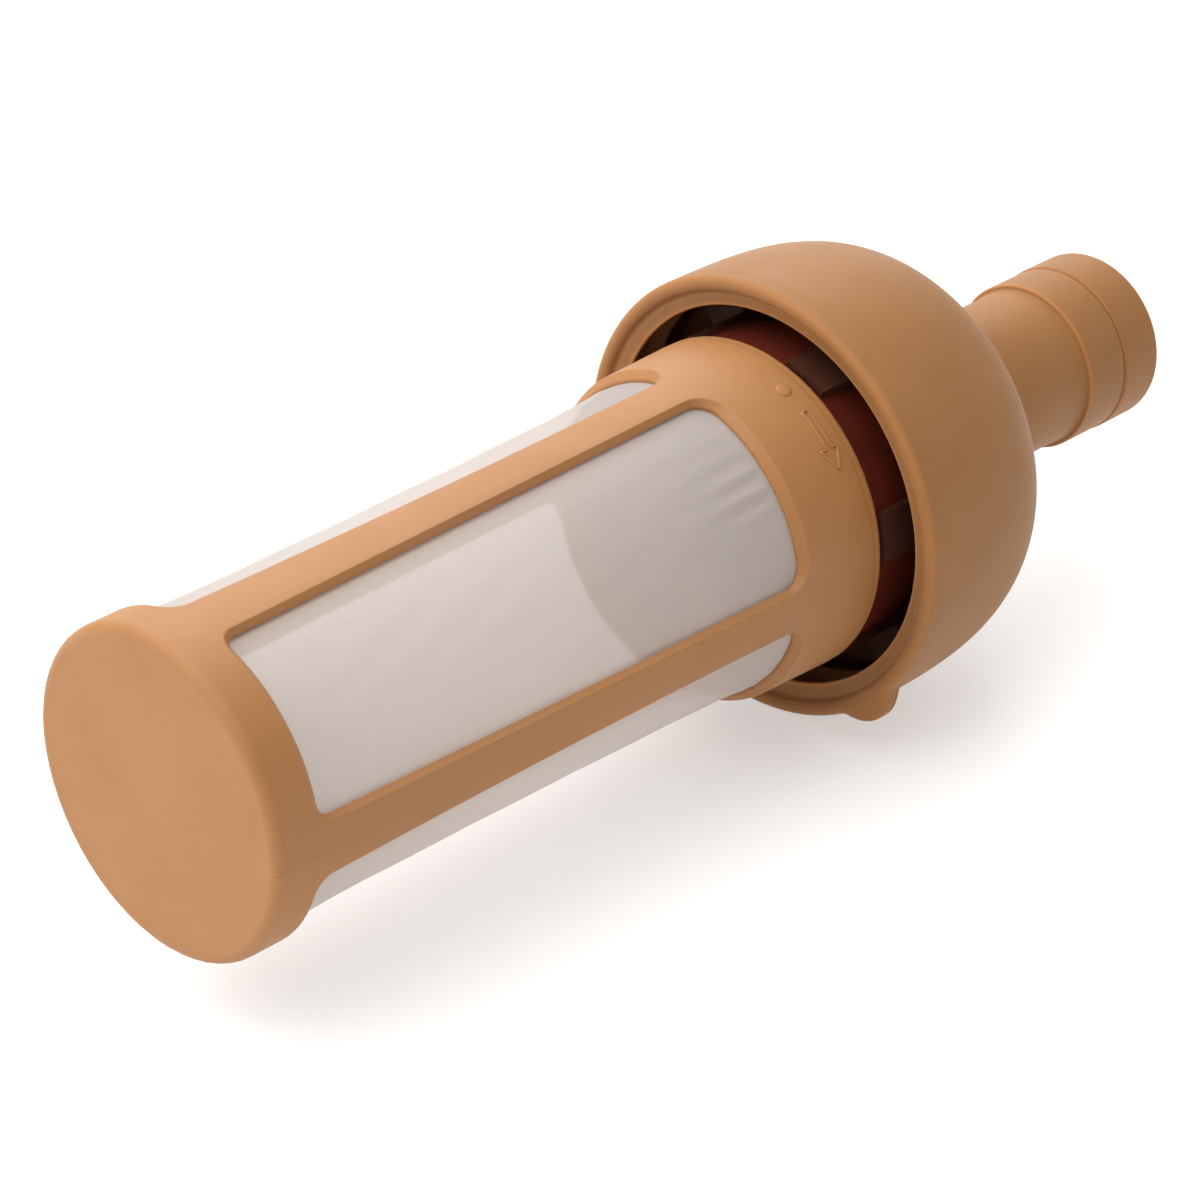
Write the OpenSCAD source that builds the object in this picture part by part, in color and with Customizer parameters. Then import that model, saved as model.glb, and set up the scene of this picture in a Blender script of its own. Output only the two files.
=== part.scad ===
// Coffee strainer with a domed pouring spout and stopper, lying on its side.
// X runs along the axis from the strainer's closed end to the stopper, and +Z is up.
// The origin is on the axis, in the plane of the spout's rim, where a bottle's mouth snaps in.

/* [Strainer frame] */
// Radius of the frame's outside at its closed end
closed_r = 29.3; // [28:0.1:30]
// Radius of the collar at its open end
collar_r = 31.7; // [31:0.1:32]
// Distance from the rim plane to the closed end's face
strainer_reach = 139.5; // [120:0.5:160]
// How far the frame's wall is drawn in at mid length
waist = 0.6; // [0:0.1:1]
// Thickness of the frame's wall
frame_wall = 2; // [1.6:0.1:2.2]
// Rounding of the frame's end edges
edge_r = 2.1; // [1:0.1:2.5]
// Width of each lengthwise rib at the closed end
rib_w = 13.2; // [9:0.1:16]
// Number of windows round the frame
windows = 4; // [3:1:5]
// Length of solid wall between the closed end's face and the windows
closed_band = 10; // [6:0.5:16]
// Length of solid wall between the windows and the collar's end
collar_band = 19.2; // [15:0.1:26]
// Corner radius of the windows at the closed end
closed_corner = 2; // [1:0.5:6]
// Corner radius of the windows at the collar
collar_corner = 4.5; // [2:0.5:9]
// How far the strainer stands turned from the tab's line when it is locked, in degrees
lock_turn = 0.5; // [0:0.5:10]

/* [Strainer mesh] */
// Thickness of the woven mesh's solid
mesh_t = 0.4; // [0.3:0.05:0.6]
// Depth that the mesh is bonded into the frame's inner wall
mesh_bond = 0.1; // [0.05:0.01:0.2]

/* [Bayonet] */
// Number of bayonet lugs
lugs = 3; // [2:1:3]
// Radius of the strainer's socket that turns in the holder
socket_r = 27.2; // [26:0.1:27.5]
// Distance from the rim plane to the end of the socket
socket_x = 8.4; // [7.5:0.1:8.6]
// How far each lug stands out of the socket
lug_out = 1.5; // [1:0.1:1.6]
// Width of each lug round the socket, in degrees
lug_sweep = 24; // [16:1:28]
// Turn from locked to free, in degrees
unlock_turn = 40; // [30:1:50]

/* [Holder] */
// Number of broad vanes that carry the holder in the dome
vanes = 6; // [4:1:8]
// Width of each vane
vane_w = 9; // [4:0.5:10]
// Turn of the vanes past the grip tab's line
vane_turn = 3.5; // [0:0.5:15]
// Distance from the rim plane to the vanes' far edge
vane_x = 21; // [18:0.5:24]

/* [Spout] */
// Outer radius of the spout's rim
rim_r = 42; // [41.5:0.1:44]
// Inner radius of the lip that snaps over the bottle's mouth
lip_r = 36; // [35:0.1:37]
// Thickness of the silicone wall
spout_wall = 2.2; // [2:0.1:2.6]
// Length of the dome from the rim plane to its crown
dome_len = 44; // [40:0.5:52]
// Squareness of the dome's shoulder, from 2 for an ellipse up
dome_square = 3.8; // [3:0.1:4]
// Outer radius of the neck
neck_r = 15.3; // [15:0.1:16]
// Outer radius of the finish band at the neck's mouth
band_r = 16.4; // [16.1:0.1:17]
// Distance from the rim plane to the finish band's lower edge
band_x = 75.6; // [70:0.1:80]
// Distance from the rim plane to the neck's mouth
mouth_x = 86.1; // [85:0.1:95]
// Radius of the neck's bore
bore_r = 12.2; // [11:0.1:12.8]
// Radius of the grip tab's outline
tab_r = 8; // [6:0.5:12]
// How far the grip tab stands past the rim
tab_out = 3; // [1:0.1:5]
// Turn of the tab from straight down towards -Y, in degrees
tab_turn = 41.5; // [0:0.5:90]

/* [Stopper] */
// Outer radius of the stopper's head
head_r = 16.6; // [16:0.1:18]
// Height of the stopper's head
head_h = 10.2; // [8:0.1:14]
// Length of the stopper's plug inside the neck
plug_len = 20; // [14:0.5:26]
// Wall thickness of the hollow plug
plug_wall = 2.2; // [1.5:0.1:3]
// Number of sealing ribs round the plug
seal_ribs = 3; // [2:1:3]

/* [Hidden] */
$fn = 96;
// Clearance of turning fits, and of faces that only meet
fit_gap = 0.06;
face_gap = 0.3;
closed_x = -strainer_reach;
collar_x = -1.3;
shoulder_x = collar_x - frame_wall;
window_x0 = closed_x + closed_band;
window_x1 = collar_x - collar_band;
// Holder: entry flange, lug channel, closing disc and outer ring
flange_x0 = collar_x + face_gap;
flange_x1 = 2;
flange_bore = socket_r + fit_gap;
channel_r = socket_r + lug_out + face_gap;
holder_r = channel_r + 1.2;
disc_x0 = 9;
disc_t = 2;
ring_x0 = 13.3;
ring_len = 4;
ring_w = 1.8;
lug_x0 = flange_x1 + face_gap;
lug_len = 2.6;
stop_sweep = 6;
hub_r = 10;
// Spout: inner wall, lip, bottle seat and crown fillet
inner_r = rim_r - spout_wall;
inner_len = dome_len - spout_wall;
bead_r = 1.5;
lip_x = 2.4;
lip_tip_r = 0.5;
groove_x = 4.8;
seat_x = 11.6;
seat_len = 1.6;
seat_r = 37.8;
crown_fillet = 3;
band_edge = 0.6;
tab_len = 4;
// Stopper: body radius under its sealing ribs, and edge roundings
rib_out = 0.25;
plug_r = bore_r - fit_gap - rib_out;
head_x = mouth_x + 0.1;
head_edge = 1.2;
head_core = 4.5;
// Marks on the collar: heights, sizes and angles before the strainer's first window centre
mark_h = 0.3;
dot_r = 1.5;
dot_angle = 114.6;
arrow_angle = 94.3;
arrow_len = 11.7;
arrow_w = 4.2;
arrow_head = 4;
arrow_shaft = 1.5;
arrow_line = 0.4;

// Radius of a superellipse of half length a and half width b at distance x
function dome_at(x, a, b) = b * pow(1 - pow(x / a, dome_square), 1 / dome_square);
// Points [r, x] of that superellipse between two distances, closer together near its crown
function dome_pts(x0, x1, a, b, n) =
    [for (i = [0:n]) let (x = x0 + (x1 - x0) * sin(90 * i / n)) [dome_at(x, a, b), x]];
// Distance at which the superellipse has shrunk to radius r
function dome_x(r, a, b) = a * pow(1 - pow(r / b, dome_square), 1 / dome_square);
// Points [r, x] of an arc about [cr, cx]
function arc(cr, cx, r, a0, a1, n = 6) =
    [for (i = [0:n]) let (a = a0 + (a1 - a0) * i / n) [cr + r * cos(a), cx + r * sin(a)]];
function reversed(list) = [for (i = [len(list) - 1:-1:0]) list[i]];
// Outer radius of the strainer frame at distance x
function frame_at(x) =
    let (u = (x - closed_x) / (collar_x - closed_x))
    closed_r + (collar_r - closed_r) * u - 4 * waist * u * (1 - u);
function frame_pts(x0, x1, inset, n = 12) =
    [for (i = [0:n]) let (x = x0 + (x1 - x0) * i / n) [frame_at(x) - inset, x]];

// Turns a shape about Z so that it lies along X, with its own +X turned straight down
module along_axis() rotate([0, 90, 0]) children();
// Places copies round the axis, from a start angle
module round_axis(count, start = 0) for (i = [0:count - 1]) rotate([0, 0, start + 360 * i / count]) children();
module ring(r_out, r_in, x, length) {
    translate([0, 0, x]) difference() {
        cylinder(r = r_out, h = length);
        translate([0, 0, -1]) cylinder(r = r_in, h = length + 2);
    }
}
module sector(r_out, r_in, x, length, sweep) {
    translate([0, 0, x]) rotate([0, 0, -sweep / 2]) rotate_extrude(angle = sweep)
        translate([r_in, 0]) square([r_out - r_in, length]);
}

module spout_profile() {
    crown_x = dome_x(neck_r + crown_fillet, dome_len, rim_r);
    inner_crown_x = dome_x(bore_r + crown_fillet, inner_len, inner_r);
    polygon(concat(
        arc(rim_r - bead_r, bead_r, bead_r, -120, 0),
        dome_pts(bead_r + 1, crown_x, dome_len, rim_r, 28),
        arc(neck_r + crown_fillet, crown_x + crown_fillet, crown_fillet, -100, -180),
        arc(band_r - band_edge, band_x + band_edge, band_edge, -90, 0),
        arc(band_r - band_edge, mouth_x - band_edge, band_edge, 0, 90),
        [[bore_r, mouth_x]],
        reversed(arc(bore_r + crown_fillet, inner_crown_x + crown_fillet, crown_fillet, -95, -180)),
        reversed(dome_pts(seat_x + seat_len, inner_crown_x, inner_len, inner_r, 28)),
        [[seat_r, seat_x + seat_len], [seat_r, seat_x]],
        [[inner_r, seat_x], [inner_r, groove_x]],
        arc(lip_r + lip_tip_r, lip_x, lip_tip_r, 120, 240)
    ));
}

module spout_shell() {
    color("peru") along_axis() {
        rotate_extrude($fn = 180) spout_profile();
        rotate([0, 0, -tab_turn]) difference() {
            translate([rim_r + tab_out - tab_r, 0, 0.4]) cylinder(r = tab_r, h = tab_len);
            cylinder(r = rim_r - 1, h = 3 * tab_len, center = true);
        }
    }
}

// One vane's outline [r, x]: a fin up the cup's side, and a broad arm from the hub to the outer ring
module vane_outline() {
    arm_x = ring_x0 + 0.2;
    fin_r = holder_r + 1.2;
    fin_x = flange_x0 + 0.4;
    root_x = disc_x0 + disc_t - 0.3;
    polygon([
        [hub_r, root_x], [hub_r, vane_x], [seat_r + 0.8, vane_x], [seat_r + 0.8, arm_x],
        [fin_r, arm_x], [fin_r, fin_x], [holder_r - 0.4, fin_x], [holder_r - 0.4, root_x]
    ]);
}

module strainer_holder() {
    locked = -tab_turn - lock_turn;
    stop_turn = (lug_sweep + stop_sweep) / 2 + 2;
    color("sienna") along_axis() {
        difference() {
            rotate_extrude() polygon([
                [flange_bore, flange_x0], [holder_r, flange_x0], [holder_r, disc_x0 + disc_t],
                [0, disc_x0 + disc_t], [0, disc_x0], [channel_r, disc_x0],
                [channel_r, flange_x1], [flange_bore, flange_x1]
            ]);
            round_axis(lugs, locked - unlock_turn)
                sector(channel_r - 0.1, flange_bore - 1, flange_x0 - 1, flange_x1 - flange_x0 + 2, lug_sweep + 3);
        }
        // Stops that end the lugs' travel, locked and free
        for (turn = [stop_turn, -unlock_turn - stop_turn]) round_axis(lugs, locked + turn)
            sector(channel_r + 0.3, flange_bore + 0.5, flange_x1 - 0.3, lug_len + 0.3, stop_sweep);
        ring(dome_at(ring_x0 + ring_len, inner_len, inner_r), seat_r, ring_x0, ring_len);
        round_axis(vanes, vane_turn - tab_turn) rotate([90, 0, 0])
            translate([0, 0, -vane_w / 2]) linear_extrude(height = vane_w) vane_outline();
    }
}

module stopper() {
    plug_x = mouth_x - plug_len;
    rib_pitch = plug_len / (seal_ribs + 1);
    color("burlywood") along_axis() {
        rotate_extrude() polygon(concat(
            [[0, head_x + head_core], [plug_r - plug_wall, head_x + head_core]],
            [[plug_r - plug_wall, plug_x], [plug_r - 0.6, plug_x], [plug_r, plug_x + 0.6]],
            [[plug_r, head_x]],
            arc(head_r - band_edge, head_x + band_edge, band_edge, -90, 0),
            arc(head_r - head_edge, head_x + head_h - head_edge, head_edge, 0, 90),
            [[0, head_x + head_h]]
        ));
        for (i = [1:seal_ribs]) translate([0, 0, plug_x + i * rib_pitch]) rotate_extrude()
            polygon([[plug_r - 0.5, -0.9], [plug_r + rib_out, -0.3], [plug_r + rib_out, 0.3], [plug_r - 0.5, 0.9]]);
    }
}

// A window's outline: a trapezoid along X, wider at the collar, with rounded corners
module window_outline() {
    half_0 = closed_r * sin(180 / windows - asin(rib_w / 2 / closed_r));
    half_1 = half_0 * collar_r / closed_r * 1.05;
    polygon(concat(
        arc(half_0 - closed_corner, window_x0 + closed_corner, closed_corner, -90, 0),
        arc(half_1 - collar_corner, window_x1 - collar_corner, collar_corner, 0, 90),
        arc(collar_corner - half_1, window_x1 - collar_corner, collar_corner, 90, 180),
        arc(closed_corner - half_0, window_x0 + closed_corner, closed_corner, 180, 270)
    ));
}

module strainer_frame() {
    locked = -tab_turn - lock_turn;
    color("sandybrown") along_axis() {
        difference() {
            rotate_extrude($fn = 180) polygon(concat(
                [[0, closed_x]],
                arc(closed_r - edge_r, closed_x + edge_r, edge_r, -90, 0),
                frame_pts(window_x0 - 5, shoulder_x, 0),
                arc(collar_r - 1.2, collar_x - 1.2, 1.2, 0, 90),
                [[socket_r, collar_x], [socket_r, socket_x], [socket_r - frame_wall, socket_x]],
                [[socket_r - frame_wall, shoulder_x]],
                reversed(frame_pts(closed_x + frame_wall, shoulder_x, frame_wall)),
                [[0, closed_x + frame_wall]]
            ));
            round_axis(windows, locked) rotate([90, 0, 90])
                translate([0, 0, closed_r / 2]) linear_extrude(height = closed_r) window_outline();
        }
        round_axis(lugs, locked)
            sector(socket_r + lug_out, socket_r - 0.5, lug_x0, lug_len, lug_sweep);
        direction_marks(locked);
    }
}

// An arrow along +Y about the origin, drawn smaller all round by inset
module arrow(inset) {
    tip = arrow_len / 2 - 1.6 * inset;
    neck = arrow_len / 2 - arrow_head + inset;
    shaft = arrow_shaft / 2 - inset;
    barb = arrow_w / 2 - 1.9 * inset;
    polygon([
        [0, tip], [barb, neck], [shaft, neck], [shaft, inset - arrow_len / 2],
        [-shaft, inset - arrow_len / 2], [-shaft, neck], [-barb, neck]
    ]);
}

// Raised dot and outlined arrow on the collar, which show which way the strainer locks
module direction_marks(locked) {
    mark_x = collar_x - 5.6;
    mark_r = frame_at(mark_x);
    intersection() {
        ring(mark_r + mark_h, mark_r - mark_h, mark_x - arrow_w, 2 * arrow_w);
        union() {
            rotate([0, 0, locked - dot_angle]) translate([0, 0, mark_x]) rotate([0, 90, 0])
                cylinder(r = dot_r, h = rim_r);
            rotate([0, 0, locked - arrow_angle]) translate([0, 0, mark_x]) rotate([0, 90, 0])
                linear_extrude(height = rim_r) difference() {
                    arrow(0);
                    arrow(arrow_line);
                }
        }
    }
}

module strainer_mesh() {
    color("antiquewhite") along_axis() rotate_extrude($fn = 120) polygon(concat(
        frame_pts(window_x0 - 4, window_x1 + 4, frame_wall - mesh_bond),
        reversed(frame_pts(window_x0 - 4, window_x1 + 4, frame_wall - mesh_bond + mesh_t))
    ));
}

spout_shell();
strainer_holder();
stopper();
strainer_frame();
strainer_mesh();
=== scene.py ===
"""Coffee strainer, twist-locked into a domed silicone pouring spout with a stopper: surfaces, finishes and stage."""

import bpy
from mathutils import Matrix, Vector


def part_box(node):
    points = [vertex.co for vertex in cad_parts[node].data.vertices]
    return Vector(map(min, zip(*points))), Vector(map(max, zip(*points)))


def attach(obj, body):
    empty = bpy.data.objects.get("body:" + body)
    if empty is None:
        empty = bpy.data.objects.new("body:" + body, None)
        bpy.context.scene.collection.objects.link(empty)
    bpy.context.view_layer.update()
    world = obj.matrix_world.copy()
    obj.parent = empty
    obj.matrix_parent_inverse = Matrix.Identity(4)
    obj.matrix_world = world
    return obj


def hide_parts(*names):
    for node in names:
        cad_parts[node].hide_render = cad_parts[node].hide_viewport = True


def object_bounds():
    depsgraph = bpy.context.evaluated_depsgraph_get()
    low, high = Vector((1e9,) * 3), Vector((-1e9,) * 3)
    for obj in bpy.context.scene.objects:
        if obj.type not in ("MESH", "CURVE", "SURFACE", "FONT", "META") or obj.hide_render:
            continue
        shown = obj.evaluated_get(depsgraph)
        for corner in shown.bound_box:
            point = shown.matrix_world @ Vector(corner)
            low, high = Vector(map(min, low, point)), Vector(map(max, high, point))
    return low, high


bl_info = {
    "name": "Coffee strainer with pouring spout",
    "version": (1, 0, 0),
    "blender": (4, 5, 0),
    "location": "View3D > Sidebar > Strainer",
    "description": "Builds the strainer's frame, mesh, silicone spout and stopper on the packed model",
    "category": "Object",
}

import math

import bmesh
import bpy
import numpy as np
from bpy.props import FloatProperty, FloatVectorProperty, IntProperty, PointerProperty
from bpy.types import Operator, Panel, PropertyGroup
from mathutils import Matrix, Vector

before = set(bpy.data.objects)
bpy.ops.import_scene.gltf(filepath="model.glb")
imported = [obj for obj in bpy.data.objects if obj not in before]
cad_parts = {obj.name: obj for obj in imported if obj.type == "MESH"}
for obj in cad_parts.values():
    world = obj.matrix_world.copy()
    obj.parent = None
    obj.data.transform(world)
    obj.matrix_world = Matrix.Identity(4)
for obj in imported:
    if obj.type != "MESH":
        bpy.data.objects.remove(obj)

MM = 0.001
LUGS = 3
CAD_BOX = [list(corner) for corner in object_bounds()]
_, SPOUT_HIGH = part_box("spout_shell")
STOPPER_LOW, STOPPER_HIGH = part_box("stopper")
STRAINER_LOW, STRAINER_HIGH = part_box("strainer_frame")
MESH_LOW, MESH_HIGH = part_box("strainer_mesh")


# Sizes and colours that a user would change


def length(name, default, description):
    """A property that holds a length in metres."""
    return FloatProperty(name=name, description=description, default=default, unit="LENGTH", min=0.0, precision=5)


def angle(name, degrees, description):
    """A property that holds an angle."""
    return FloatProperty(name=name, description=description, default=math.radians(degrees), subtype="ANGLE")


def linear(value):
    """One 0 to 255 display value as linear light."""
    share = value / 255
    return share / 12.92 if share <= 0.04045 else ((share + 0.055) / 1.055) ** 2.4


def colour(name, display, description):
    """A property that holds a colour, whose default is given as display values from 0 to 255."""
    default = tuple(linear(value) for value in display)
    return FloatVectorProperty(name=name, description=description, default=default, subtype="COLOR", min=0, max=1)


class SpoutSettings(PropertyGroup):
    """The silicone spout: rim, lip, dome, neck and finish band."""

    rim_radius: length("Rim radius", SPOUT_HIGH.z, "Outer radius of the rim")
    bead: length("Bead", 1.5 * MM, "Rounding radius of the rim's bead")
    lip_radius: length("Lip radius", 36.0 * MM, "Inner radius of the lip that snaps over a bottle's mouth")
    lip_depth: length("Lip depth", 2.4 * MM, "Distance from the rim plane to the lip's tip")
    wall: length("Wall", 2.2 * MM, "Thickness of the dome's wall")
    dome_length: length("Dome length", 44.0 * MM, "Distance from the rim plane to the dome's crown")
    squareness: FloatProperty(name="Squareness", description="Squareness of the dome's shoulder", default=3.8, min=2)
    seat_start: length("Seat", 11.6 * MM, "Distance from the rim plane to the seat behind the lip's undercut")
    neck_radius: length("Neck radius", 15.3 * MM, "Outer radius of the neck")
    crown_fillet: length("Crown fillet", 3.0 * MM, "Radius of the fillet between dome and neck")
    band_radius: length("Band radius", 16.4 * MM, "Outer radius of the finish band")
    band_start: length("Band start", 75.6 * MM, "Distance from the rim plane to the band's lower edge")
    mouth: length("Mouth", SPOUT_HIGH.x, "Distance from the rim plane to the neck's mouth")
    bore: length("Bore", 12.2 * MM, "Radius of the neck's bore")
    tab_radius: length("Tab radius", 8.0 * MM, "Radius of the grip tab's outline")
    tab_out: length("Tab reach", 3.0 * MM, "How far the grip tab stands past the rim")
    tab_length: length("Tab thickness", 4.4 * MM, "Thickness of the grip tab along the axis")
    tab_turn: angle("Tab turn", -41.5, "Turn of the tab from straight down, positive towards +Y")


class StrainerSettings(PropertyGroup):
    """The strainer's moulded frame and its mesh."""

    closed_radius: length("Closed radius", 29.3 * MM, "Outer radius at the closed end")
    collar_radius: length("Collar radius", 31.7 * MM, "Outer radius of the collar")
    collar_end: FloatProperty(name="Collar end", description="Where the collar ends", default=-1.3 * MM, unit="LENGTH")
    waist: length("Waist", 0.6 * MM, "How far the wall is drawn in at mid length")
    wall: length("Wall", 2.0 * MM, "Thickness of the wall")
    edge: length("End rounding", 2.1 * MM, "Rounding of the closed end's outer edge")
    rib_width: length("Rib width", 13.2 * MM, "Width of each rib at the closed end")
    closed_band: length("Closed band", 10.0 * MM, "Solid wall between the closed end and the windows")
    collar_band: length("Collar band", 19.2 * MM, "Solid wall between the windows and the collar's end")
    closed_corner: length("Closed corner", 2.0 * MM, "Corner radius of the windows at the closed end")
    collar_corner: length("Collar corner", 3.6 * MM, "Corner radius of the windows at the collar")
    bevel: length("Window bevel", 1.3 * MM, "Width of the bevel round each window")
    bevel_depth: length("Bevel depth", 1.35 * MM, "Depth of the bevel round each window")
    socket_radius: length("Socket radius", 27.2 * MM, "Radius of the socket that turns in the holder")
    windows: IntProperty(name="Windows", description="Number of windows round the frame", default=4, min=3)
    turn: angle("Turn", -42.0, "Turn of the first window's middle from straight down, positive towards +Y")


class FinishSettings(PropertyGroup):
    """Colours of the finishes and the stage."""

    silicone: colour("Silicone", (156, 108, 61), "Caramel silicone of the spout and stopper")
    # Painted glow: light shining through the silicone's thin edges, and their highlights, painted in as this colour
    edge_glow_paint: colour("Warm edge", (203, 135, 72), "Colour of thin silicone edges, which light shines through")
    plastic: colour("Frame plastic", (169, 117, 68), "Moulded plastic of the strainer's frame")
    holder: colour("Holder plastic", (92, 34, 22), "Moulded red-brown plastic of the holder inside the dome")
    # Painted shade: this duller brown stands for the shadow that the vanes stand in
    painted_vane_shade: colour("Vane", (74, 42, 30), "Duller brown of the holder's vanes")
    yarn: colour("Mesh yarn", (228, 219, 212), "Polyester yarn of the mesh")
    floor: colour("Floor", (214, 213, 212), "Pale studio floor")


class ModelSettings(PropertyGroup):
    """All settings of the model."""

    spout: PointerProperty(type=SpoutSettings)
    strainer: PointerProperty(type=StrainerSettings)
    finish: PointerProperty(type=FinishSettings)


# Curves in the half plane of distance x along the axis and radius r from it


def line(start, stop, count):
    """Points from start to stop, evenly spaced, without the last one."""
    share = np.linspace(0, 1, count, endpoint=False)[:, None]
    return np.array(start) * (1 - share) + np.array(stop) * share


def arc(x, r, radius, start, stop, count):
    """Points of a circle about (x, r): x plus radius times the sine, r plus radius times the cosine, in degrees."""
    turn = np.radians(np.linspace(start, stop, count))
    return np.stack([x + radius * np.sin(turn), r + radius * np.cos(turn)], axis=-1)


def bump(x, centre, width):
    """A smooth hump of height 1 about centre, the bell curve exp(-(distance / width) squared)."""
    return np.exp(-(((x - centre) / width) ** 2))


def smoothstep(x, low, high):
    """0 below low and 1 above high, with the cubic 3t^2 - 2t^3 between them."""
    share = np.clip((x - low) / (high - low), 0, 1)
    return share * share * (3 - 2 * share)


def about_axis(x, radius, turn):
    """Points at distance x and a radius from the axis, turned from straight down (-Z) towards +Y."""
    x, radius, turn = np.broadcast_arrays(x, radius, turn)
    return np.stack([x, radius * np.sin(turn), -radius * np.cos(turn)], axis=-1)


# Meshes from grids of points


def quads(rows, columns, wrap_rows, wrap_columns):
    """Point numbers of the four-sided faces between neighbours in a grid that is numbered row by row."""
    row = np.arange(rows if wrap_rows else rows - 1)[:, None]
    column = np.arange(columns if wrap_columns else columns - 1)[None, :]
    next_row, next_column = (row + 1) % rows, (column + 1) % columns
    corners = [row * columns + column, row * columns + next_column]
    corners += [next_row * columns + next_column, next_row * columns + column]
    return np.stack(corners, axis=-1).reshape(-1, 4)


def make_piece(name, grids, material, body, replaces=(), uv=None):
    """One object made of grids (points, wrap_rows, wrap_columns), with seams and poles closed and faces outwards."""
    points, faces, first = [], [], 0
    for grid, wrap_rows, wrap_columns in grids:
        rows, columns = grid.shape[:2]
        points.append(grid.reshape(-1, 3))
        faces.append(quads(rows, columns, wrap_rows, wrap_columns) + first)
        first += rows * columns
    mesh = bpy.data.meshes.new(name)
    mesh.from_pydata(np.concatenate(points).tolist(), [], np.concatenate(faces).tolist())
    if uv is not None:
        corner_points = np.empty(len(mesh.loops), dtype=np.int32)
        mesh.loops.foreach_get("vertex_index", corner_points)
        mesh.uv_layers.new(name="cloth").uv.foreach_set("vector", uv.reshape(-1, 2)[corner_points].ravel())
    weld(mesh)
    mesh.polygons.foreach_set("use_smooth", np.ones(len(mesh.polygons), dtype=bool))
    mesh.materials.append(material)
    piece = bpy.data.objects.new(name, mesh)
    bpy.context.scene.collection.objects.link(piece)
    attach(piece, body)
    if replaces:
        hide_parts(*replaces)
    return piece


def weld(mesh):
    """Merges points that coincide and turns every face outwards."""
    work = bmesh.new()
    work.from_mesh(mesh)
    bmesh.ops.remove_doubles(work, verts=work.verts, dist=0.002 * MM)
    bmesh.ops.recalc_face_normals(work, faces=work.faces)
    work.to_mesh(mesh)
    work.free()


# Node materials. Patterns read Object coordinates, in metres, or the cloth's own UV map


def new_material(name):
    """An empty node material: its tree, its Principled shader, and its surface output."""
    material = bpy.data.materials.new(name)
    material.use_nodes = True
    tree = material.node_tree
    tree.nodes.clear()
    output = tree.nodes.new("ShaderNodeOutputMaterial")
    shader = tree.nodes.new("ShaderNodeBsdfPrincipled")
    tree.links.new(shader.outputs[0], output.inputs["Surface"])
    return material, tree, shader


def add_node(tree, kind, links=None, values=None, **options):
    """A node with its options set, its sockets' values given by name or number, and sources linked into them."""
    node = tree.nodes.new("ShaderNode" + kind)
    for option, value in options.items():
        setattr(node, option, value)
    for socket, value in (values or {}).items():
        node.inputs[socket].default_value = value
    for socket, source in (links or {}).items():
        tree.links.new(source, node.inputs[socket])
    return node


def object_points(tree):
    """The Object coordinates of the piece."""
    return add_node(tree, "TexCoord").outputs["Object"]


def maths(tree, operation, *terms):
    """One Math node's result, from sockets and plain numbers."""
    node = add_node(tree, "Math", operation=operation)
    for number, term in enumerate(terms):
        if isinstance(term, (int, float)):
            node.inputs[number].default_value = term
        else:
            tree.links.new(term, node.inputs[number])
    return node.outputs[0]


def noise(tree, points, size, detail=3.0, roughness=0.5):
    """Noise from 0 to 1 whose features are about size metres across."""
    node = add_node(tree, "TexNoise", {"Vector": points}, {"Scale": 1 / size, "Detail": detail, "Roughness": roughness})
    return node.outputs["Fac"]


def spread(tree, source, low, high, out_low, out_high):
    """source from low to high, as out_low to out_high, held at both ends."""
    values = {"From Min": low, "From Max": high, "To Min": out_low, "To Max": out_high}
    return add_node(tree, "MapRange", {"Value": source}, values).outputs[0]


def tint(tree, share, base, other):
    """A colour that goes from base to other as share goes from 0 to 1."""
    node = add_node(tree, "Mix", data_type="RGBA")
    for number, end in ((6, base), (7, other)):
        if isinstance(end, bpy.types.NodeSocket):
            tree.links.new(end, node.inputs[number])
        else:
            node.inputs[number].default_value = (*end, 1)
    tree.links.new(share, node.inputs[0])
    return node.outputs[2]


def raise_surface(tree, shader, height, distance):
    """Bumps the shader's surface by height, from 0 to 1, times distance."""
    node = add_node(tree, "Bump", {"Height": height}, {"Distance": distance, "Strength": 1.0})
    tree.links.new(node.outputs[0], shader.inputs["Normal"])


def specks(tree, points, size, share):
    """1 on sparse round specks about size metres across, that cover a small share of a cell's room, and 0 elsewhere."""
    cells = add_node(tree, "TexVoronoi", {"Vector": points}, {"Scale": 1 / (size * 12), "Randomness": 1.0})
    chosen = add_node(tree, "SeparateColor", {"Color": cells.outputs["Color"]}).outputs[0]
    near = maths(tree, "LESS_THAN", cells.outputs["Distance"], 0.045)
    return maths(tree, "MULTIPLY", near, maths(tree, "LESS_THAN", chosen, share))


def scaled(base, factor):
    """A colour made lighter or darker."""
    return tuple(min(1.0, channel * factor) for channel in base)


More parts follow.
